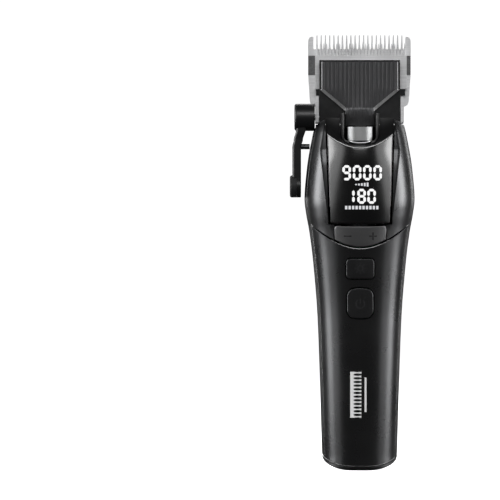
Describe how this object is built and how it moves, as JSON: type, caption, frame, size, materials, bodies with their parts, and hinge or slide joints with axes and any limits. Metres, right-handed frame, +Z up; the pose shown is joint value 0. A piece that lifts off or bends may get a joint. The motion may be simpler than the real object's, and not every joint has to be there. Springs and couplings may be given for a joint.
{
  "type": "hair clipper",
  "caption": "Cordless hair clipper with a toothed blade set, side taper lever, display window, speed rocker and push buttons, standing on its flat foot.",
  "frame": {"origin": "centre of the flat foot that the clipper stands on", "axes": "+Z up from the foot to the blade tips, the display faces -Y, the taper lever is on the -X side"},
  "size_m": [0.0543, 0.0396, 0.19],
  "materials": {
    "gunmetal_shell": "dark gunmetal lacquer, satin gloss",
    "button_face": "dark satin buttons with faint marks",
    "black_plastic": "black moulded plastic, fine grain",
    "gloss_window": "piano black lens with white lit numerals",
    "bright_chrome": "mirror plated",
    "ribbed_guard": "black plate with fine upright ribs",
    "blade_steel": "satin ground steel",
    "rubber_pad": "soft thumb grip",
    "zinc_plate": "zinc plated",
    "brass_parts": "turned brass",
    "light_plastic": "off-white acetal",
    "board_green": "solder masked board",
    "cell_wrap": "shrink wrapped cell",
    "red_wire": "wire insulation",
    "black_wire": "wire insulation"
  },
  "bodies": {
    "body": {"rear_housing": "gunmetal_shell", "barrel_cover": "gunmetal_shell", "head_cover": "gunmetal_shell", "bottom_cap": "black_plastic", "display_window": "gloss_window", "scoop_deck": "black_plastic", "neck_collar": "black_plastic", "neck_insert": "bright_chrome", "insert_lip": "bright_chrome", "top_frame": "black_plastic", "nose_cap": "black_plastic", "hair_guard": "ribbed_guard", "blade_bracket": "blade_steel", "fixed_blade": "blade_steel", "lever_bush": "zinc_plate", "motor_can": "zinc_plate", "motor_endbell": "black_plastic", "motor_plate": "zinc_plate", "battery_cell": "cell_wrap", "battery_terminal": "zinc_plate", "battery_cradle": "light_plastic", "main_board": "board_green", "display_board": "board_green", "digit_block": "light_plastic", "switch_light": "black_plastic", "switch_power": "black_plastic", "charge_board": "board_green", "charge_socket": "blade_steel", "housing_screw_lower": "blade_steel", "housing_screw_upper": "blade_steel", "blade_screw_left": "blade_steel", "blade_screw_right": "blade_steel", "motor_screw_left": "blade_steel", "motor_screw_right": "blade_steel", "switch_speed_left": "black_plastic", "switch_speed_right": "black_plastic", "contact_left": "brass_parts", "contact_right": "brass_parts", "motor_lead_left": "red_wire", "motor_lead_right": "red_wire", "battery_lead_left": "red_wire", "battery_lead_right": "black_wire"},
    "taper_lever": {"taper_lever": "black_plastic", "lever_pad": "rubber_pad", "lever_screw": "blade_steel", "lever_shaft": "blade_steel", "detent_pin": "button_face"},
    "taper_carriage": {"taper_slide": "blade_steel", "tension_spring": "blade_steel"},
    "moving_blade": {"moving_blade": "blade_steel", "drive_yoke": "black_plastic"},
    "drive_cam": {"motor_shaft": "blade_steel", "eccentric_cam": "brass_parts", "cam_bearing": "blade_steel"},
    "speed_rocker": {"speed_rocker": "button_face"},
    "light_button": {"light_button": "button_face"},
    "power_button": {"power_button": "button_face"}
  },
  "joints": [
    {"name": "taper_lever_swing", "type": "hinge", "parent": "body", "child": "taper_lever", "pos_m": [-0.024, -0.0015, 0.1539], "axis": [1, 0, 0], "range_deg": [0, 45]},
    {"name": "taper_carriage_lift", "type": "slide", "parent": "body", "child": "taper_carriage", "axis": [0, 0, 1], "range_m": [0, 0.00199]},
    {"name": "moving_blade_stroke", "type": "slide", "parent": "taper_carriage", "child": "moving_blade", "axis": [1, 0, 0], "range_m": [-0.00193, 0.00067]},
    {"name": "cam_spin", "type": "hinge", "parent": "body", "child": "drive_cam", "pos_m": [0, 0.0032, 0.1388], "axis": [0, 0, 1], "continuous": true},
    {"name": "speed_rocker_tilt", "type": "hinge", "parent": "body", "child": "speed_rocker", "pos_m": [0, -0.0181, 0.102], "axis": [0, 0, 1], "range_deg": [-3, 3], "stiffness_Nm_per_rad": 1},
    {"name": "light_button_press", "type": "slide", "parent": "body", "child": "light_button", "axis": [0, 1, 0], "range_m": [0, 0.0005], "stiffness_N_per_m": 800},
    {"name": "power_button_press", "type": "slide", "parent": "body", "child": "power_button", "axis": [0, 1, 0], "range_m": [0, 0.0006], "stiffness_N_per_m": 800}
  ],
  "couplings": [
    {"joint": "taper_lever_swing", "follows": "taper_carriage_lift", "rad_per_m": 394.67}
  ]
}
